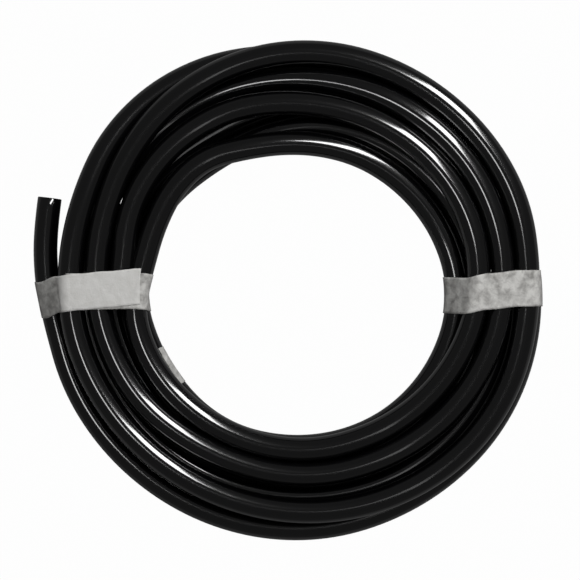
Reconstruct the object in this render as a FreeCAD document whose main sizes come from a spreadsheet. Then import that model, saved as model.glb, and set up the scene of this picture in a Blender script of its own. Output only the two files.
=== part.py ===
"""Coil of smooth black garden tubing, held by two bands of masking tape.

One length of tubing lies in two layers of lanes. It starts at a free cut end on the floor,
goes once round the outside, climbs, winds inwards on top, dives between two of its own
turns, winds on inwards below, climbs again at the eye and ends under the left band.
Lengths are in millimetres, angles in degrees counted from +X towards +Y, seen from above.
"""
import FreeCAD, Part
import math
import os

Vector = FreeCAD.Vector
UP = Vector(0, 0, 1)

# Driving dimensions
SIZES = [
    ("hose_outer", 16.0, "outside diameter of the tubing"),
    ("hose_wall", 1.75, "wall of the tubing"),
    ("turn_gap", 0.65, "clear space between neighbouring turns and between layers"),
    ("outer_lane", 153.8, "mean radius of the outermost lane"),
    ("lane_shift", 7.5, "how far the outermost lane sits off the axis"),
    ("shift_heading", 85.0, "direction of that shift"),
    ("lane_oval", 2.7, "how far the outermost lane is from round"),
    ("oval_heading", -34.0, "direction of its long axis"),
    ("seat_flat", 0.5, "depth of the flat where the lowest turns rest"),
    ("straight_end", 16.0, "straight length at each end of the wound tube"),
    ("free_start_run", 15.0, "first run of the free end"),
    ("free_middle_run", 28.0, "middle run of the free end"),
    ("free_last_run", 25.0, "last run of the free end, up to the cut"),
    ("free_angle", 9.5, "turn between two runs of the free end"),
    ("tape_width", 24.0, "width of the masking tape"),
    ("tape_ply", 0.15, "thickness of one ply of the tape"),
    ("band_plies", 2.0, "plies in a band"),
    ("band_slack", 0.6, "clearance between a band and the turns it holds"),
    ("tape_gap", 0.1, "clearance of tape that lies on the tubing"),
    ("patch_heading", 1642.0, "wound angle where the inner patch of tape starts"),
    ("patch_length", 29.0, "length of the patch along the tubing"),
    ("patch_low_angle", 235.0, "lower edge of the patch, round the tubing"),
    ("patch_high_angle", 110.0, "upper edge of the patch, round the tubing"),
]

# How the tubing lies: the angle wound so far, its lane counted from the outside, its layer
LAY = [
    (-173, -0.75, 0), (-135, -0.92, 0), (-90, -0.80, 0), (-60, -0.42, 0), (-30, -0.10, 0),
    (0, 0.05, 0), (45, 0.0, 0), (90, -0.06, 0), (120, -0.14, 0.12), (150, -0.12, 0.72),
    (180, -0.02, 1), (270, 0.0, 1), (360, 0.03, 1), (405, -0.02, 1), (450, 0.0, 1),
    (480, 0.44, 1), (510, 0.88, 1), (540, 1.02, 1), (585, 1.38, 1), (630, 1.60, 1),
    (660, 1.70, 1), (690, 1.48, 1), (720, 1.07, 1), (765, 1.02, 1), (795, 1.04, 0.92),
    (840, 1.28, 0.25), (870, 1.25, 0), (900, 0.86, 0), (945, 0.60, 0), (990, 0.60, 0),
    (1020, 0.75, 0), (1050, 0.95, 0), (1080, 1.07, 0), (1110, 1.20, 0), (1140, 1.50, 0),
    (1170, 1.88, 0), (1200, 2.27, 0), (1230, 2.26, 0), (1260, 1.88, 0), (1305, 1.62, 0),
    (1350, 1.62, 0), (1380, 1.78, 0), (1410, 1.97, 0), (1440, 2.09, 0), (1470, 2.22, 0),
    (1500, 2.52, 0), (1530, 2.90, 0), (1560, 3.30, 0), (1590, 3.28, 0), (1620, 2.90, 0),
    (1665, 2.64, 0), (1710, 2.64, 0), (1740, 2.80, 0), (1770, 2.99, 0), (1800, 3.11, 0),
    (1830, 3.28, 0.06), (1860, 3.50, 0.38), (1890, 3.60, 0.76), (1920, 3.62, 0.98),
    (1950, 3.38, 1), (1980, 3.18, 1), (2010, 2.64, 1), (2040, 2.52, 1), (2070, 2.63, 1),
    (2100, 2.74, 1), (2130, 2.53, 1), (2160, 2.09, 1), (2205, 2.05, 1), (2250, 2.12, 1),
    (2280, 2.06, 1), (2310, 2.06, 1), (2330, 2.16, 1),
]
LANES = [(angle, lane) for angle, lane, _ in LAY]
LAYERS = [(angle, layer) for angle, _, layer in LAY]

# Turns that the two bands hold: lowest outside, top outside, top inside, lowest inside
LEFT_CORNERS = (-180, 180, 1980, 1620)
RIGHT_CORNERS = (0, 360, 2160, 1800)

document = FreeCAD.newDocument("hose_coil")
sheet = document.addObject("Spreadsheet::Sheet", "sizes")
for row, (alias, value, meaning) in enumerate(SIZES, start=1):
    sheet.set(f"A{row}", alias)
    sheet.set(f"B{row}", str(value))
    sheet.set(f"C{row}", meaning)
    sheet.setAlias(f"B{row}", alias)
document.recompute()


def size(alias):
    """The value of one driving dimension."""
    return float(sheet.get(alias))


hose_radius = size("hose_outer") / 2
bore_radius = hose_radius - size("hose_wall")
lane_pitch = size("hose_outer") + size("turn_gap")
low_centre = hose_radius - size("seat_flat")
band_wall = size("tape_ply") * size("band_plies")
half_tape = size("tape_width") / 2


def slope_at(before, here, after):
    """Slope of a column at a row: level where the column turns or stays."""
    change_in = here[1] - before[1]
    change_out = after[1] - here[1]
    if change_in * change_out <= 0:
        return 0.0
    return (change_in + change_out) / (after[0] - before[0])


def eased(angle, column):
    """Lane or layer at any wound angle: a smooth curve through its column of the lay."""
    last = len(column) - 1
    here = 0
    while here < last - 1 and angle > column[here + 1][0]:
        here += 1
    before, start = column[max(here - 1, 0)], column[here]
    end, after = column[here + 1], column[min(here + 2, last)]
    span = end[0] - start[0]
    along = (angle - start[0]) / span
    slope_in = span * slope_at(before, start, end)
    slope_out = span * slope_at(start, end, after)
    change = end[1] - start[1]
    bend = 3 * change - 2 * slope_in - slope_out
    twist = slope_in + slope_out - 2 * change
    return start[1] + along * (slope_in + along * (bend + along * twist))


def on_axis(angle):
    """Centre of the tubing at a wound angle, about the coil's own axis."""
    outermost = (size("outer_lane")
                 + size("lane_shift") * math.cos(math.radians(angle - size("shift_heading")))
                 + size("lane_oval") * math.cos(math.radians(2 * (angle - size("oval_heading")))))
    radius = outermost - lane_pitch * eased(angle, LANES)
    height = low_centre + lane_pitch * eased(angle, LAYERS)
    turn = math.radians(angle)
    return Vector(radius * math.cos(turn), radius * math.sin(turn), height)


def heading(angle):
    """Direction of the tubing at a wound angle."""
    step = 0.5
    return (on_axis(angle + step) - on_axis(angle - step)).normalize()


def crossing(turn, depth):
    """Where a turn, named by its angle at the middle of a band, passes at a given depth."""
    if turn < knots[0]:
        return free_crossing(depth)
    side = 1 if turn % 360 == 0 else -1
    angle = turn
    for _ in range(6):
        centre = on_axis(angle)
        radius = math.hypot(centre.x, centre.y)
        angle = turn + side * math.degrees(math.asin(depth / radius))
    return on_axis(angle)


def free_crossing(depth):
    """Where the straight start of the coil and the free end pass at a given depth."""
    for start, end in zip([on_axis(knots[0])] + free_points, free_points):
        if start.y <= depth <= end.y:
            return start + (end - start) * ((depth - start.y) / (end.y - start.y))
    return free_points[-1]


def biarc(start, start_heading, end, end_heading):
    """Two tangent arcs from one point and direction to another."""
    gap = end - start
    both = start_heading + end_heading
    spread = 2 * (1 - start_heading.dot(end_heading))
    reach = (-gap.dot(both) + math.sqrt(gap.dot(both) ** 2 + spread * gap.dot(gap))) / spread
    corner_in = start + start_heading * reach
    corner_out = end - end_heading * reach
    join = (corner_in + corner_out) * 0.5
    return [arc_about(start, corner_in, join), arc_about(join, corner_out, end)]


def arc_about(start, corner, end):
    """The arc from start to end whose tangents meet in the corner."""
    chord = end - start
    middle = (start + end) * 0.5
    rise = corner - middle
    half_turn = math.atan2(rise.Length, chord.Length / 2)
    sagitta = chord.Length / 2 * math.tan(half_turn / 2)
    return Part.Arc(start, middle + rise.normalize() * sagitta, end).toShape()


def bends(points, share=0.45):
    """Straight runs joined by tangent arcs as large as the shorter run allows."""
    edges = []
    start = points[0]
    for before, corner, after in zip(points, points[1:], points[2:]):
        run_in = corner - before
        run_out = after - corner
        reach = share * min(run_in.Length, run_out.Length)
        turn = run_in.getAngle(run_out)
        arc_start = corner - run_in.normalize() * reach
        arc_end = corner + run_out.normalize() * reach
        edges.append(Part.LineSegment(start, arc_start).toShape())
        edges.append(arc_about(arc_start, corner, arc_end))
        print(f"free end bend radius {reach / math.tan(turn / 2):.0f} mm")
        start = arc_end
    edges.append(Part.LineSegment(start, points[-1]).toShape())
    return edges


def tube(edges):
    """Hollow tubing swept along a path: its outer skin, its bore and a ring at each end."""
    path = Part.Wire(edges)
    first = edges[0]
    last = edges[-1]
    start = first.valueAt(first.FirstParameter)
    start_heading = first.tangentAt(first.FirstParameter)
    skins = []
    for radius in (hose_radius, bore_radius):
        ring = Part.Wire([Part.Circle(start, start_heading, radius).toShape()])
        skins.append(path.makePipeShell([ring], True, False))
    solid = skins[0].cut(skins[1])
    section = math.pi * (hose_radius ** 2 - bore_radius ** 2)
    print(f"tube length {path.Length:.0f} mm, volume over section times length "
          f"{solid.Volume / (section * path.Length):.5f}")
    return solid, last.valueAt(last.LastParameter)


def least_gap(edges):
    """Least clear space between two turns, measured on points along the path."""
    step = 3.0
    points = []
    distance = 0.0
    for edge in edges:
        count = max(2, int(edge.Length / step))
        spots = edge.discretize(Number=count)
        for spot, following in zip(spots, spots[1:]):
            points.append((distance, spot))
            distance += (following - spot).Length
    apart = 6 * size("hose_outer")
    least = min((one - two).Length
                for place, (along, one) in enumerate(points)
                for further, two in points[place + 1:] if further - along > apart)
    return least - size("hose_outer")


# The path of the wound tube, with a straight run at each end
knots = [row[0] for row in LAY]
coil_edges = []
for angle, following in zip(knots, knots[1:]):
    coil_edges += biarc(on_axis(angle), heading(angle), on_axis(following), heading(following))
level_start = heading(knots[0])
level_end = heading(knots[-1])
coil_start = on_axis(knots[0]) - level_start * size("straight_end")
coil_end = on_axis(knots[-1]) + level_end * size("straight_end")
coil_edges.insert(0, Part.LineSegment(coil_start, on_axis(knots[0])).toShape())
coil_edges.append(Part.LineSegment(on_axis(knots[-1]), coil_end).toShape())
arc_radii = [edge.Curve.Radius for edge in coil_edges[1:-1]]
print(f"least gap of the coil to itself {least_gap(coil_edges):.2f} mm")
print(f"arc radii of the coil from {min(arc_radii):.0f} mm")

# The free end leaves the coil backwards, against the direction of winding
free_runs = [size("free_start_run"), size("free_middle_run"), size("free_last_run")]
free_points = [coil_start]
free_heading = level_start * -1
for run in free_runs:
    free_points.append(free_points[-1] + free_heading * run)
    free_heading = FreeCAD.Rotation(UP, -size("free_angle")).multVec(free_heading)
free_edges = bends(free_points)


def band_outline(corners, side, depth, reach, floor):
    """Closed outline round the four corner turns of a band, cut flat at the floor.

    It lies in the plane at the given depth. Reach is its distance from the turns' centres.
    """
    centres = [crossing(turn, depth) for turn in corners]
    spots = [(side * centre.x, centre.z) for centre in centres]
    normals = []
    for (out_a, up_a), (out_b, up_b) in zip(spots, spots[1:]):
        normal = math.atan2(out_a - out_b, up_b - up_a)
        normals.append(normal if normal > -math.pi / 2 else normal + 2 * math.pi)
    dip = math.asin((spots[0][1] - floor) / reach)
    spans = [(-dip, normals[0]), (normals[0], normals[1]), (normals[1], normals[2]),
             (normals[2], math.pi + dip)]

    def place(spot, turn):
        out = spot[0] + reach * math.cos(turn)
        return Vector(side * out, depth, spot[1] + reach * math.sin(turn))

    edges = []
    previous = None
    for spot, (begin, finish) in zip(spots, spans):
        arc_start = place(spot, begin)
        arc_end = place(spot, finish)
        if previous is not None:
            edges.append(Part.LineSegment(previous, arc_start).toShape())
        edges.append(Part.Arc(arc_start, place(spot, (begin + finish) / 2), arc_end).toShape())
        previous = arc_end
    edges.append(Part.LineSegment(previous, edges[0].valueAt(edges[0].FirstParameter)).toShape())
    return Part.Wire(edges)


def band_loft(corners, side, reach, floor):
    """Solid between the outlines at the two edges of a band."""
    depths = (side * half_tape, -side * half_tape)
    outlines = [band_outline(corners, side, depth, reach, floor) for depth in depths]
    return Part.makeLoft(outlines, True, True)


def feature(name, shape):
    """A document object that holds a finished shape, set off to the frame's origin."""
    item = document.addObject("Part::Feature", name)
    item.Shape = shape
    item.Placement = FreeCAD.Placement(to_origin, FreeCAD.Rotation())
    return item


# The frame's origin lies below the middle of the box round the whole part
inner_reach = hose_radius + size("band_slack")
outer_reach = inner_reach + band_wall
right_wall = max(crossing(turn, depth).x
                 for turn in RIGHT_CORNERS[:2] for depth in (-half_tape, 0, half_tape))
trail = free_points + [on_axis(angle) for angle in range(int(knots[0]), int(knots[-1]))]
least_x = min(point.x for point in trail) - hose_radius
least_y = min(point.y for point in trail) - hose_radius
most_y = max(point.y for point in trail) + hose_radius
to_origin = Vector(-(least_x + right_wall + outer_reach) / 2, -(least_y + most_y) / 2, 0)

coil_solid, _ = tube(coil_edges)
free_solid, cut_centre = tube(free_edges)
coil_tube = feature("coil_tube", coil_solid)
free_tube = feature("free_tube", free_solid)

# The floor presses a flat on the lowest turns, and the tape under them a deeper one
floor_reach = 2 * size("outer_lane")
floor_slab = document.addObject("Part::Box", "floor_slab")
floor_slab.setExpression("Length", "4 * sizes.outer_lane")
floor_slab.setExpression("Width", "4 * sizes.outer_lane")
floor_slab.setExpression("Height", "sizes.hose_outer")
floor_slab.Placement = FreeCAD.Placement(
    Vector(-floor_reach, -floor_reach, -size("hose_outer")), FreeCAD.Rotation())
tape_seat = document.addObject("Part::Box", "tape_seat")
tape_seat.setExpression("Length", "4 * sizes.outer_lane")
tape_seat.setExpression("Width", "sizes.tape_width + 4 * sizes.tape_gap")
tape_seat.setExpression(
    "Height", "sizes.hose_outer + sizes.tape_ply * sizes.band_plies + sizes.tape_gap")
tape_seat.Placement = FreeCAD.Placement(
    Vector(-floor_reach, to_origin.y - half_tape - 2 * size("tape_gap"), -size("hose_outer")),
    FreeCAD.Rotation())
floor = document.addObject("Part::MultiFuse", "floor")
floor.Shapes = [floor_slab, tape_seat]

hose_coil = document.addObject("Part::Cut", "hose_coil")
hose_coil.Base = coil_tube
hose_coil.Tool = floor
hose_free_end = document.addObject("Part::Cut", "hose_free_end")
hose_free_end.Base = free_tube
hose_free_end.Tool = floor

# The two bands
bands = []
for name, corners, side in (("left_tape_band", LEFT_CORNERS, -1),
                            ("right_tape_band", RIGHT_CORNERS, 1)):
    outside = feature(f"{name}_outside", band_loft(corners, side, outer_reach, 0.0))
    inside = feature(f"{name}_inside", band_loft(corners, side, inner_reach, band_wall))
    band = document.addObject("Part::Cut", name)
    band.Base = outside
    band.Tool = inside
    bands.append(band)

# The patch of tape on the inner side of the innermost low turn
patch_inner = hose_radius + size("tape_gap")
patch_outer = patch_inner + size("tape_ply")
patch_from = size("patch_heading")
patch_radius = on_axis(patch_from).x / math.cos(math.radians(patch_from))
patch_to = patch_from + math.degrees(size("patch_length") / patch_radius)
patch_path = Part.Arc(on_axis(patch_from), on_axis((patch_from + patch_to) / 2), on_axis(patch_to))
patch_edge = patch_path.toShape()
patch_centre = on_axis(patch_from)
patch_heading = patch_edge.tangentAt(patch_edge.FirstParameter)
patch_out = patch_heading.cross(UP)


def patch_spot(radius, degrees):
    """A point of the patch's section, by its turn round the tubing from the outside."""
    turn = math.radians(degrees)
    return patch_centre + patch_out * (radius * math.cos(turn)) + UP * (radius * math.sin(turn))


patch_high = size("patch_high_angle")
patch_low = size("patch_low_angle")
patch_turns = (patch_high, (patch_high + patch_low) / 2, patch_low)
outer_spots = [patch_spot(patch_outer, turn) for turn in patch_turns]
inner_spots = [patch_spot(patch_inner, turn) for turn in reversed(patch_turns)]
patch_section = Part.Wire([
    Part.Arc(*outer_spots).toShape(),
    Part.LineSegment(outer_spots[-1], inner_spots[0]).toShape(),
    Part.Arc(*inner_spots).toShape(),
    Part.LineSegment(inner_spots[-1], outer_spots[0]).toShape(),
])
inner_tape_patch = feature(
    "inner_tape_patch", Part.Wire([patch_edge]).makePipeShell([patch_section], True, False))

pieces = [hose_coil, hose_free_end, *bands, inner_tape_patch]
for piece in pieces:
    piece.Label = piece.Name

document.recompute()
for item in document.Objects:
    if "Invalid" in item.State or "Error" in item.State:
        raise RuntimeError(f"{item.Name} failed: {item.State}")
os.makedirs("parts", exist_ok=True)
for piece in pieces:
    shape = piece.Shape
    if shape.isNull() or not shape.isValid():
        raise RuntimeError(f"{piece.Label} has no valid shape")
for piece in pieces:
    piece.Shape.exportStep(f"parts/{piece.Label}.step")
    box = piece.Shape.optimalBoundingBox()
    print(f"{piece.Label}: {len(piece.Shape.Solids)} solid, {piece.Shape.Volume / 1000:.1f} cm3, "
          f"x {box.XMin:.1f} to {box.XMax:.1f}, y {box.YMin:.1f} to {box.YMax:.1f}, "
          f"z {box.ZMin:.2f} to {box.ZMax:.2f}")
cut_spot = cut_centre + to_origin
cut_heading = (free_points[-1] - free_points[-2]).normalize()
print(f"cut face at {cut_spot.x:.6f}, {cut_spot.y:.6f}, {cut_spot.z:.6f}, "
      f"heading {cut_heading.x:.9f}, {cut_heading.y:.9f}")
print(f"coil axis at {to_origin.x:.3f}, {to_origin.y:.3f}")
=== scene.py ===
# %% [markdown]
# # A coil of black garden tubing, held by two bands of masking tape
#
# The object is one length of smooth, soft, extruded tubing, wound into a flat ring of
# two layers. Two bands of pale masking tape hold the ring together, and a scrap of the
# same tape sticks to one of the inner turns. It is seen from straight above.
#
# Everything is in metres and stands on a floor at height 0.

# %% Load the fixed frame
import bmesh
import bpy
import math
from mathutils import Matrix, Vector


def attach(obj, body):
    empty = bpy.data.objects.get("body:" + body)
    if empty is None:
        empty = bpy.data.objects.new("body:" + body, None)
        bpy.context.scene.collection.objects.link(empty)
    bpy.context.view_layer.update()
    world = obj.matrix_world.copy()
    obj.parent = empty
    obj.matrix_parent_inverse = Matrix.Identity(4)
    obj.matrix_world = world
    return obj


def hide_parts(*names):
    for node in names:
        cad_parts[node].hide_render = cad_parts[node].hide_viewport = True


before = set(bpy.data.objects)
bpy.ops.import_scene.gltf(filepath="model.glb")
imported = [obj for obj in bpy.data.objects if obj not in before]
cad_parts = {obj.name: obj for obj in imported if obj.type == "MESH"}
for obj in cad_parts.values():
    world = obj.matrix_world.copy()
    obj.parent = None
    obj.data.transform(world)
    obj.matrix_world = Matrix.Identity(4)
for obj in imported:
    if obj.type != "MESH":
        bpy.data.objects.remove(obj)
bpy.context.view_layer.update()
MM = 0.001
print("CAD nodes:", sorted(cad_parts))

# %% [markdown]
# ## Camera
#
# The picture looks straight down. A long lens keeps the near and far turns the same size.
# The frame is as wide as the floor that the photograph shows: 387 mm.

# %% Camera straight above the coil
VIEW_WIDTH = 386.7 * MM
VIEW_CENTRE = Vector((0.9 * MM, 0.0, 16 * MM))
CAMERA_HEIGHT = 1.6

camera_data = bpy.data.cameras.new("camera")
camera_data.sensor_width = 36
camera_data.lens = 36 * CAMERA_HEIGHT / VIEW_WIDTH
camera = bpy.data.objects.new("camera", camera_data)
camera.location = VIEW_CENTRE + Vector((0, 0, CAMERA_HEIGHT))
bpy.context.collection.objects.link(camera)
bpy.context.scene.camera = camera
print(f"lens {camera_data.lens:.0f} mm")

# %% [markdown]
# ## The tubing
#
# The tubing lies in lanes. A lane is a track round the coil's axis, counted from the
# outside, and each is one tube width further in. The table says which lane and which
# layer the tubing has reached after a wound angle in degrees, and a smooth curve joins
# its rows. The outermost lane isn't quite a circle: it is shifted one way and stretched
# another, and the lanes inside it follow.

# %% The lay of the tubing
AXIS = Vector((7.528, -1.372, 0.0))
HOSE_OUTER = 16.0
HOSE_BORE = 12.5
TURN_GAP = 0.65
SEAT_FLAT = 0.5
LANE_PITCH = HOSE_OUTER + TURN_GAP
LANE_RADIUS = 153.8
SHIFT, SHIFTED_TOWARDS = 7.5, 85
STRETCH, STRETCHED_TOWARDS = 2.7, -34
LAY = [
    (-173, -0.75, 0), (-150, -0.86, 0), (-120, -0.91, 0), (-90, -0.79, 0), (-60, -0.42, 0),
    (-30, -0.17, 0), (0, 0.1, 0), (30, 0.29, 0), (60, 0.08, 0), (90, 0.19, 0),
    (105, 0.04, 0.02), (120, -0.12, 0.14), (135, -0.12, 0.5), (150, 0.1, 0.86), (165, 0.2, 1),
    (180, 0.06, 1), (210, 0.0, 1), (240, 0.0, 1), (270, 0.0, 1), (300, 0.02, 1), (330, 0.1, 1),
    (360, 0.3, 1), (390, -0.02, 1), (420, -0.02, 1), (450, 0.05, 1), (465, 0.26, 1),
    (480, 0.48, 1), (495, 0.78, 1), (510, 1.04, 1), (525, 1.19, 1), (540, 1.17, 1),
    (570, 1.17, 1), (600, 1.42, 1), (630, 1.46, 1), (660, 1.58, 1), (690, 1.47, 1),
    (720, 1.26, 1), (750, 1.01, 1), (765, 1.0, 1), (780, 1.02, 0.94), (795, 1.05, 0.74),
    (810, 1.11, 0.46), (825, 1.06, 0.2), (840, 1.07, 0.04), (855, 1.11, 0), (870, 1.09, 0),
    (885, 0.76, 0), (900, 0.57, 0), (930, 0.49, 0), (960, 0.39, 0), (990, 0.52, 0),
    (1020, 0.64, 0), (1050, 0.86, 0), (1080, 1.06, 0), (1110, 1.35, 0), (1140, 1.53, 0),
    (1155, 1.76, 0), (1170, 2.0, 0), (1185, 2.29, 0), (1200, 2.44, 0), (1215, 2.34, 0),
    (1230, 2.01, 0), (1260, 1.68, 0), (1290, 1.56, 0), (1320, 1.36, 0), (1350, 1.54, 0),
    (1380, 1.7, 0), (1410, 1.83, 0), (1440, 2.03, 0), (1470, 2.33, 0), (1500, 2.62, 0),
    (1530, 2.96, 0), (1545, 3.25, 0), (1560, 3.4, 0), (1575, 3.31, 0), (1590, 2.97, 0),
    (1620, 2.65, 0), (1650, 2.53, 0), (1680, 2.32, 0), (1710, 2.51, 0), (1740, 2.72, 0),
    (1770, 2.91, 0), (1800, 2.99, 0), (1820, 3.18, 0.03), (1845, 3.42, 0.2), (1860, 3.51, 0.38),
    (1875, 3.62, 0.58), (1890, 3.69, 0.76), (1905, 3.69, 0.9), (1920, 3.28, 0.98),
    (1935, 3.14, 1), (1950, 3.19, 1), (1965, 3.22, 1), (1980, 2.64, 1), (1995, 2.44, 1),
    (2010, 2.36, 1), (2040, 2.38, 1), (2070, 2.45, 1), (2100, 2.63, 1), (2130, 2.53, 1),
    (2160, 2.23, 1), (2190, 2.02, 1), (2205, 2.02, 1), (2220, 2.04, 1), (2235, 2.11, 1),
    (2250, 2.11, 1), (2265, 1.98, 1), (2280, 1.95, 1), (2295, 1.98, 1), (2310, 2.01, 1),
    (2330, 2.21, 1),
]


def slope_at(before, here, after, column):
    """Slope of a column at a row: level where the column turns or stays."""
    change_in = here[column] - before[column]
    change_out = after[column] - here[column]
    if change_in * change_out <= 0:
        return 0.0
    return (change_in + change_out) / (after[0] - before[0])


def eased(angle, column):
    """Lane or layer at any wound angle."""
    last = len(LAY) - 1
    here = 0
    while here < last - 1 and angle > LAY[here + 1][0]:
        here += 1
    before, start = LAY[max(here - 1, 0)], LAY[here]
    end, after = LAY[here + 1], LAY[min(here + 2, last)]
    span = end[0] - start[0]
    along = (angle - start[0]) / span
    slope_in = span * slope_at(before, start, end, column)
    slope_out = span * slope_at(start, end, after, column)
    change = end[column] - start[column]
    bend = 3 * change - 2 * slope_in - slope_out
    twist = slope_in + slope_out - 2 * change
    return start[column] + along * (slope_in + along * (bend + along * twist))


def on_axis(angle, spread=1.0):
    """Centre of the tubing at a wound angle, in millimetres from the coil's axis."""
    shift = SHIFT * math.cos(math.radians(angle - SHIFTED_TOWARDS))
    stretch = STRETCH * math.cos(math.radians(2 * (angle - STRETCHED_TOWARDS)))
    outermost = LANE_RADIUS + shift + stretch
    radius = (outermost - LANE_PITCH * eased(angle, 1)) * spread
    height = HOSE_OUTER / 2 - SEAT_FLAT + LANE_PITCH * eased(angle, 2)
    turn = math.radians(angle)
    return Vector((radius * math.cos(turn), radius * math.sin(turn), height))


print(f"lane pitch {LANE_PITCH:.2f} mm, {(LAY[-1][0] - LAY[0][0]) / 360:.2f} turns")

# %% [markdown]
# The route has a point every 15 degrees. A NURBS spline of order 3 passes through the
# middle of each run between its points, so it lies a little inside them. The points are
# set out by that much, and the tubing comes to lie on its lane. Each end starts with a
# straight run one diameter long, and the free end goes on in three gentle bends.

# %% Control points of the tubing
STEP = 15
SPREAD = 1 / math.cos(math.radians(STEP / 2))
FREE_RUNS = (15, 28, 25)
FREE_BEND = math.radians(-9.5)
first, last = LAY[0][0], LAY[-1][0]
angles = [first + (last - first) * part / round((last - first) / STEP)
          for part in range(round((last - first) / STEP) + 1)]
wound = [on_axis(angle, SPREAD) for angle in angles[1:-1]]
heading_in = (on_axis(first + 0.5) - on_axis(first - 0.5)).normalized()
heading_out = (on_axis(last + 0.5) - on_axis(last - 0.5)).normalized()

free_start = on_axis(first) - heading_in * HOSE_OUTER
free_points = [on_axis(first), free_start]
free_heading = -heading_in
for run in FREE_RUNS:
    free_points.append(free_points[-1] + free_heading * run)
    free_heading = Matrix.Rotation(FREE_BEND, 3, "Z") @ free_heading

hidden_points = [on_axis(last) + heading_out * HOSE_OUTER, on_axis(last)]
route = hidden_points + wound[::-1] + free_points
route = [(point + AXIS) * MM for point in route]
print(f"{len(route)} points on the route")

# %% The spline, read back as a fine line of points
curve = bpy.data.curves.new("hose_line", "CURVE")
curve.dimensions = "3D"
spline = curve.splines.new("NURBS")
spline.points.add(len(route) - 1)
for point, place in zip(spline.points, route):
    point.co = (*place, 1.0)
spline.order_u = 3
spline.use_endpoint_u = True
spline.resolution_u = 8
line_object = bpy.data.objects.new("hose_line", curve)
line_mesh = bpy.data.meshes.new_from_object(line_object)
line = [vertex.co.copy() for vertex in line_mesh.vertices]
bpy.data.objects.remove(line_object)
bpy.data.curves.remove(curve)
bpy.data.meshes.remove(line_mesh)
length = sum((b - a).length for a, b in zip(line, line[1:]))
print(f"{len(line)} points on the line, {length:.3f} m long")

# %% [markdown]
# The skin is drawn the way an extruder makes it: a ring that travels along the line and
# leaves a wall behind it. It goes out along the outside, turns in over the cut end, comes
# back along the bore and closes on itself, so the tubing is hollow from end to end.
# Each ring's turn is carried over from the ring before, and nothing twists. The bore is
# out of sight, so every third ring does for it.

# %% Rings along the line
SIDES = 32
RIM = 0.35 * MM
BORE_EVERY = 3


def frames_along(points):
    """Place, turn and heading of a ring at each point, with the least twist between them."""
    turn = (points[1] - points[0]).to_track_quat("Z", "Y")
    frames = []
    for index, point in enumerate(points):
        ahead = points[min(index + 1, len(points) - 1)]
        behind = points[max(index - 1, 0)]
        heading = (ahead - behind).normalized()
        turn = (turn @ Vector((0, 0, 1))).rotation_difference(heading) @ turn
        frames.append((point, turn, heading))
    return frames


def ring_matrix(spot, radius, slide=0.0):
    """Matrix that puts a unit ring at a spot on the line, slid along it a little."""
    point, turn, heading = spot
    place = Matrix.Translation(point + heading * slide)
    return place @ turn.to_matrix().to_4x4() @ Matrix.Scale(radius, 4)


spots = frames_along(line)
outer, bore = HOSE_OUTER / 2 * MM, HOSE_BORE / 2 * MM
reached = [0.0]
for a, b in zip(line, line[1:]):
    reached.append(reached[-1] + (b - a).length)
slides = [RIM] + [0.0] * (len(spots) - 2) + [-RIM]
rings = [(ring_matrix(spots[0], bore + RIM), 0.0), (ring_matrix(spots[0], outer - RIM), 0.0)]
rings += [(ring_matrix(spot, outer, slide), along)
          for spot, slide, along in zip(spots, slides, reached)]
rings += [(ring_matrix(spots[-1], outer - RIM), reached[-1]),
          (ring_matrix(spots[-1], bore + RIM), reached[-1]),
          (ring_matrix(spots[-1], bore, -RIM), reached[-1])]
inside = slice(-1 - BORE_EVERY, BORE_EVERY, -BORE_EVERY)
rings += [(ring_matrix(spot, bore), along) for spot, along in zip(spots[inside], reached[inside])]
rings += [(ring_matrix(spots[0], bore, RIM), 0.0), rings[0]]
print(f"{len(rings)} rings of {SIDES} sides")

# %% [markdown]
# A flat grid has the right number of faces: its width goes once round a ring and its
# height is one row for each ring. Its vertices move to the rings, and the two seams are
# welded. The lowest turns are pressed flat on the floor, and a little more where tape
# passes under them.

# %% Bend a grid into the tubing
TAPE_MIDDLE = -1.4 * MM
TAPE_WIDTH = 24 * MM
TAPE_SEAT = 0.4 * MM
SEAT_MARGIN = 0.4 * MM


def grid_cells(mesh, columns, rows):
    """Each vertex of a new grid with its column and its row."""
    bmesh.ops.create_grid(mesh, x_segments=columns, y_segments=rows, size=0.5)
    return [(vertex, round((vertex.co.x + 0.5) * columns), round((vertex.co.y + 0.5) * rows))
            for vertex in mesh.verts]


mesh = bmesh.new()
uv = mesh.loops.layers.uv.new("skin")
cells = grid_cells(mesh, SIDES, len(rings) - 1)
for vertex, column, row in cells:
    for loop in vertex.link_loops:
        loop[uv].uv = (column / SIDES, rings[row][1])
for vertex, column, row in cells:
    turn = 2 * math.pi * column / SIDES
    vertex.co = rings[row][0] @ Vector((math.cos(turn), math.sin(turn), 0))
    over_tape = abs(vertex.co.y - TAPE_MIDDLE) < TAPE_WIDTH / 2 + SEAT_MARGIN
    vertex.co.z = max(vertex.co.z, TAPE_SEAT if over_tape else 0.0)
bmesh.ops.remove_doubles(mesh, verts=mesh.verts, dist=1e-6)
for face in mesh.faces:
    face.smooth = True
bmesh.ops.recalc_face_normals(mesh, faces=mesh.faces)
print(f"open edges {sum(edge.is_boundary for edge in mesh.edges)}, "
      f"wall volume {mesh.calc_volume(signed=True) * 1e6:.0f} cm3")


# %% Make it a piece
def piece_from(mesh, name, slot, *nodes):
    """A finished piece on the root body, in place of CAD nodes."""
    data = bpy.data.meshes.new(name)
    mesh.to_mesh(data)
    mesh.free()
    piece = bpy.data.objects.new(name, data)
    bpy.context.collection.objects.link(piece)
    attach(piece, "root")
    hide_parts(*nodes)
    triangles = sum(len(polygon.vertices) - 2 for polygon in data.polygons)
    print(f"{name}: {triangles} triangles")
    return piece


hose = piece_from(mesh, "hose", "hose", "hose_coil", "hose_free_end")

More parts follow.
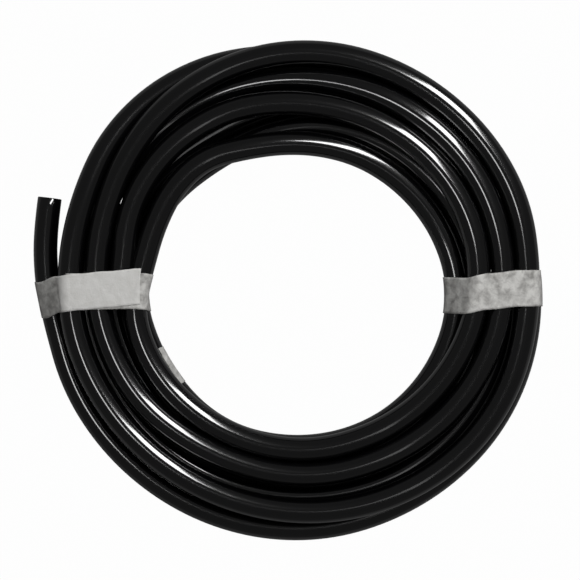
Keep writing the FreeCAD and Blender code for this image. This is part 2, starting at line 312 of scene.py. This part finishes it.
# %% [markdown]
# ## The masking tape
#
# The tape is thin crepe paper, 24 mm wide. Wound tight round the bundle it takes the
# shape of a belt round pulleys: straight from turn to turn, and round over the outer
# ones. At each depth across the tape, the turns that it holds are found where the line
# crosses that depth. A belt is laid round them, and points are set out along it. The
# turns cross the tape at a slant and press it outwards, so the belt stands off a little.

# %% A belt round the turns
PAPER = 0.15 * MM
CLEAR = 0.15 * MM
SLANT = 0.7 * MM
BELT_STEP = 0.25 * MM
PLY_GAP = 0.2 * MM
LAP_STEP = 0.01


def belt(side, depth, count):
    """Points at even spacing round the turns on one side, at one depth across the tape.

    They start under the middle of the bundle and go outwards, up, over and down again.
    """
    centres = []
    for a, b in zip(line, line[1:]):
        if (a.y - depth) * (b.y - depth) <= 0 and a.x * side > 0 and a.y != b.y:
            spot = a.lerp(b, (depth - a.y) / (b.y - a.y))
            centres.append(Vector((spot.x * side, spot.z)))
    reach = outer + SLANT
    ring = []
    for degree in range(-89, 270, 2):
        out = Vector((math.cos(math.radians(degree)), math.sin(math.radians(degree))))
        ring.append(max(centres, key=out.dot) + out * reach)
    ring = [Vector((spot.x, max(spot.y, CLEAR))) for spot in ring]
    across = [spot.x for spot in centres]
    middle = Vector(((min(across) + max(across)) / 2, CLEAR))
    ring = [middle, *ring, middle]
    walked = [0.0]
    for a, b in zip(ring, ring[1:]):
        walked.append(walked[-1] + (b - a).length)
    points, index = [], 0
    for number in range(count + 1):
        target = walked[-1] * number / count
        while walked[index + 1] < target - 1e-9:
            index += 1
        share = (target - walked[index]) / max(walked[index + 1] - walked[index], 1e-9)
        points.append(ring[index].lerp(ring[index + 1], share))
    return points


sample = belt(-1, TAPE_MIDDLE, 200)
print(f"the left belt is {sum((b - a).length for a, b in zip(sample, sample[1:])) / MM:.0f} mm round")

# %% [markdown]
# A band is a strip of cells along the belt. The left one starts on top, goes round the
# inner side and under the bundle, comes up outside and ends on top over its own start.
# Places are counted in turns round the belt: a quarter is the outer side, a half the top,
# three quarters the inner side. The tape wanders a little across the bundle, so a list
# gives how many millimetres its middle is off at each place.


# %% Strips of tape
def wander(stops, place):
    """A value between stops, eased from one to the next."""
    for (start, low), (end, high) in zip(stops, stops[1:]):
        if place <= end:
            share = (place - start) / (end - start)
            share = share * share * (3 - 2 * share)
            return low + (high - low) * max(share, 0.0)
    return stops[-1][1]


def tape_band(name, node, side, start, finish, middles, lift_from, count=260, across=16):
    """A strip round the bundle from one place to another, both in turns round the belt."""
    depths = [TAPE_MIDDLE + TAPE_WIDTH * (column / across - 0.5) for column in range(across + 1)]
    rows = round(abs(finish - start) * count)
    mesh = bmesh.new()
    uv = mesh.loops.layers.uv.new("tape")
    plies = mesh.verts.layers.float.new("plies")
    belts = {}
    for vertex, column, row in grid_cells(mesh, across, rows):
        place = start + (finish - start) * row / rows
        shift = wander(middles, place) * MM
        depth = depths[column] + shift
        key = round(depth / BELT_STEP)
        if key not in belts:
            belts[key] = belt(side, key * BELT_STEP, count)
        ring = belts[key]
        turn = (place % 1.0) * count
        low = int(turn) % count
        spot = ring[low].lerp(ring[low + 1], turn - int(turn))
        ahead = ring[min(low + 2, count)] - ring[max(low - 1, 0)]
        out = Vector((ahead.y, -ahead.x)).normalized()
        double = min(max((place - lift_from) / LAP_STEP, 0.0), 1.0)
        spot = spot + out * double * (PAPER + PLY_GAP)
        vertex[plies] = double
        for loop in vertex.link_loops:
            loop[uv].uv = (column / across * TAPE_WIDTH, place)
        vertex.co = (spot.x * side, depth, max(spot.y, CLEAR))
    print(f"{name}: {len(belts)} belts")
    return mesh


left_middles = [(0.40, 0.3), (0.62, 0.9), (0.72, -0.7), (1.0, -1.0), (1.15, -4.5), (1.26, -5.5),
                (1.36, -1.5), (1.44, 0.15), (1.53, 1.75), (1.645, 3.7)]
left = tape_band("left_band", "left_tape_band", -1, 0.40, 1.645, left_middles, 1.36)
bmesh.ops.recalc_face_normals(left, faces=left.faces)
left_band = piece_from(left, "left_band", "tape", "left_tape_band")

right_middles = [(0.02, 0.0), (0.18, 2.4), (0.34, 2.6), (0.42, 2.5), (0.54, 0.45), (0.64, -2.5),
                 (0.8, -2.0), (1.0, 0.0), (1.08, 0.0)]
right = tape_band("right_band", "right_tape_band", 1, 0.02, 1.08, right_middles, 1.0)
bmesh.ops.recalc_face_normals(right, faces=right.faces)
right_band = piece_from(right, "right_band", "tape", "right_tape_band")

# %% [markdown]
# A scrap of the same tape sticks to the inner side of a low turn, between the two bands.

# %% The scrap
PATCH_TURN = 1642
PATCH_RADIUS = 105
PATCH_LENGTH = 29
CLING = 0.1 * MM


def patch_strip(high, low, columns=12, rows=20):
    """A strip that hugs the inner side of a turn, from a high to a low angle round it."""
    mesh = bmesh.new()
    uv = mesh.loops.layers.uv.new("tape")
    mesh.verts.layers.float.new("plies")
    up = Vector((0, 0, 1))
    reach = outer + CLING
    for vertex, column, row in grid_cells(mesh, columns, rows):
        angle = PATCH_TURN + math.degrees(PATCH_LENGTH / PATCH_RADIUS) * row / rows
        centre = (on_axis(angle) + AXIS) * MM
        heading = (on_axis(angle + 0.5) - on_axis(angle - 0.5)).normalized()
        outwards = heading.cross(up)
        turn = math.radians(high + (low - high) * column / columns)
        for loop in vertex.link_loops:
            loop[uv].uv = (column / columns * TAPE_WIDTH, row / rows)
        vertex.co = centre + (outwards * math.cos(turn) + up * math.sin(turn)) * reach
    return mesh


patch = patch_strip(128, 235)
bmesh.ops.recalc_face_normals(patch, faces=patch.faces)
inner_patch = piece_from(patch, "inner_patch", "tape", "inner_tape_patch")
for piece in (left_band, right_band, inner_patch):
    for polygon in piece.data.polygons:
        polygon.use_smooth = True
    wall = piece.modifiers.new("paper", "SOLIDIFY")
    wall.thickness = PAPER
    wall.offset = 1.0

# %% [markdown]
# ## Finishes
#
# One function turns a hex colour as seen on a screen into the linear values that the
# shaders work in, and one adds a node with its settings and links.

# %% Two helpers for finishes


def colour(text):
    """Linear colour of an sRGB hex value."""
    parts = [int(text[place:place + 2], 16) / 255 for place in (1, 3, 5)]
    linear = [part / 12.92 if part <= 0.04045 else ((part + 0.055) / 1.055) ** 2.4 for part in parts]
    return (*linear, 1.0)


def add(tree, kind, settings=None, **links):
    """A node with its settings. Sockets get a value or a link, by name or as i0, i1."""
    node = tree.nodes.new(kind)
    for name, value in (settings or {}).items():
        setattr(node, name, value)
    for name, value in links.items():
        numbered = name[0] == "i" and name[1:].isdigit()
        socket = node.inputs[int(name[1:]) if numbered else name.replace("_", " ")]
        if isinstance(value, bpy.types.NodeSocket):
            tree.links.new(value, socket)
        else:
            socket.default_value = value
    return node


def new_finish(name):
    """An empty material with a shader and its output."""
    material = bpy.data.materials.new(name)
    material.use_nodes = True
    tree = material.node_tree
    shader = tree.nodes["Principled BSDF"]
    return material, tree, shader


# %% [markdown]
# The tubing is soft black PVC, extruded. The die leaves it almost as smooth as glass,
# with fine lines along it, and soft sheets of light lie on it as long bright streaks.
# The lines are under 1 mm wide (60 round the tube's 50 mm) and about 250 mm long.

# %% Extruded soft black PVC
pvc, tree, shader = new_finish("extruded_black_pvc")
shader.inputs["Base Color"].default_value = colour("#050506")
shader.inputs["IOR"].default_value = 1.53
shader.inputs["Coat Weight"].default_value = 1.0
shader.inputs["Coat IOR"].default_value = 1.5
shader.inputs["Coat Roughness"].default_value = 0.07
skin = add(tree, "ShaderNodeTexCoord").outputs["UV"]
lines = add(tree, "ShaderNodeMapping", Vector=skin, Scale=(60, 4, 1)).outputs[0]
die_lines = add(tree, "ShaderNodeTexNoise", {"noise_dimensions": "2D"}, Vector=lines, Scale=1.0,
                Detail=2.0).outputs["Fac"]
scuffs = add(tree, "ShaderNodeMapRange", Value=die_lines, To_Min=0.12, To_Max=0.18).outputs[0]
tree.links.new(scuffs, shader.inputs["Roughness"])
dents = add(tree, "ShaderNodeBump", Height=die_lines, Strength=0.006, Distance=0.0002).outputs[0]
tree.links.new(dents, shader.inputs["Normal"])
hose.data.materials.append(pvc)

# %% [markdown]
# Masking tape is creped paper: it is wrinkled across its length when it is made, so that
# it can stretch round a curve. One ply lets the black tubing darken it, two hardly do.
# Blotches are about 7 mm across, folds 11 mm, and the crepe itself 1 mm. The lamps are
# low, to keep the black deep, so the paper is written lighter than it should come out.

# %% Creped masking tape
tape, tree, shader = new_finish("creped_masking_tape")
place = add(tree, "ShaderNodeTexCoord").outputs["Object"]
plies = add(tree, "ShaderNodeAttribute", {"attribute_name": "plies"}).outputs["Fac"]
blotches = add(tree, "ShaderNodeTexNoise", Vector=place, Scale=150.0, Detail=6.0, Roughness=0.6,
               Distortion=0.3).outputs["Fac"]
clouds = add(tree, "ShaderNodeMapRange", Value=blotches, From_Min=0.3, From_Max=0.62).outputs[0]
single = add(tree, "ShaderNodeMix", {"data_type": "RGBA"}, i0=clouds, i6=colour("#A09E9B"),
             i7=colour("#F0EFEB")).outputs[2]
double = add(tree, "ShaderNodeMix", {"data_type": "RGBA"}, i0=clouds, i6=colour("#EDECE8"),
             i7=colour("#FAF9F6")).outputs[2]
paper = add(tree, "ShaderNodeMix", {"data_type": "RGBA"}, i0=plies, i6=single, i7=double).outputs[2]
tree.links.new(paper, shader.inputs["Base Color"])
shader.inputs["Roughness"].default_value = 0.75
crepe = add(tree, "ShaderNodeTexNoise", Vector=place, Scale=900.0, Detail=2.0).outputs["Fac"]
relief = add(tree, "ShaderNodeBump", Height=crepe, Strength=0.5, Distance=0.0003).outputs[0]
folds = add(tree, "ShaderNodeTexNoise", Vector=place, Scale=90.0, Detail=2.0,
            Distortion=0.7).outputs["Fac"]
creased = add(tree, "ShaderNodeBump", Height=folds, Strength=0.35, Distance=0.002,
              Normal=relief).outputs[0]
tree.links.new(creased, shader.inputs["Normal"])
for piece in (left_band, right_band, inner_patch):
    piece.data.materials.append(tape)

# %% [markdown]
# ## Floor and light
#
# The floor is a plain matt grey to every ray but the camera's. To the camera nearly all of
# it is an even white glow, as in the photograph, and only a trace of the shadow is left.

# %% Floor
FLOOR_HALF = 3.0
FLOOR_DROP = 0.2 * MM
floor_mesh = bmesh.new()
bmesh.ops.create_grid(floor_mesh, x_segments=1, y_segments=1, size=FLOOR_HALF)
for vertex in floor_mesh.verts:
    vertex.co.z = -FLOOR_DROP
floor_data = bpy.data.meshes.new("floor")
floor_mesh.to_mesh(floor_data)
floor_mesh.free()
floor = bpy.data.objects.new("floor", floor_data)
bpy.context.collection.objects.link(floor)
white = bpy.data.materials.new("white_floor")
white.use_nodes = True
tree = white.node_tree
tree.nodes.remove(tree.nodes["Principled BSDF"])
seen = add(tree, "ShaderNodeLightPath").outputs["Is Camera Ray"]
amount = add(tree, "ShaderNodeMath", {"operation": "MULTIPLY"}, i0=seen, i1=0.985).outputs[0]
matte = add(tree, "ShaderNodeBsdfDiffuse", Color=colour("#8A8A8A")).outputs[0]
glow = add(tree, "ShaderNodeEmission", Strength=1.0).outputs[0]
mixed = add(tree, "ShaderNodeMixShader", i0=amount, i1=matte, i2=glow).outputs[0]
tree.links.new(mixed, tree.nodes["Material Output"].inputs["Surface"])
floor_data.materials.append(white)

# %% [markdown]
# The key light is a long soft box far out to the upper right, and it draws the long
# streaks there. A smaller one near the middle draws those at the lower left, and a
# narrow one a faint line on the turns at the bottom.

# %% Lights


def soft_light(name, place, width, height, radiance):
    """A rectangular soft light that faces the coil. Its power follows from its radiance."""
    data = bpy.data.lights.new(name, "AREA")
    data.shape = "RECTANGLE"
    data.size = width
    data.size_y = height
    data.energy = radiance * math.pi * width * height
    lamp = bpy.data.objects.new(name, data)
    lamp.location = place
    lamp.rotation_euler = (Vector(place) - VIEW_CENTRE).to_track_quat("Z", "X").to_euler()
    bpy.context.collection.objects.link(lamp)
    print(f"{name}: {data.energy:.1f} W")


soft_light("key_light", (0.77, 0.92, 1.5), 1.15, 0.36, 16.0)
soft_light("overhead_light", (-0.285, -0.14, 1.5), 0.22, 0.20, 8.0)
soft_light("narrow_light", (0.17, -0.27, 1.5), 0.5, 0.05, 1.3)

# %% [markdown]
# The world is white where the camera sees it, and dim for every other ray, so that the
# black tubing stays black.

# %% World
world = bpy.data.worlds.new("studio")
bpy.context.scene.world = world
world.use_nodes = True
tree = world.node_tree
background = tree.nodes["Background"]
seen = add(tree, "ShaderNodeLightPath").outputs["Is Camera Ray"]
level = add(tree, "ShaderNodeMapRange", Value=seen, To_Min=0.08, To_Max=1.0).outputs[0]
tree.links.new(level, background.inputs["Strength"])
background.inputs["Color"].default_value = (1, 1, 1, 1)

# %% Show colours as written and bring the scene up to date
bpy.context.scene.view_settings.view_transform = "Standard"
bpy.context.view_layer.update()
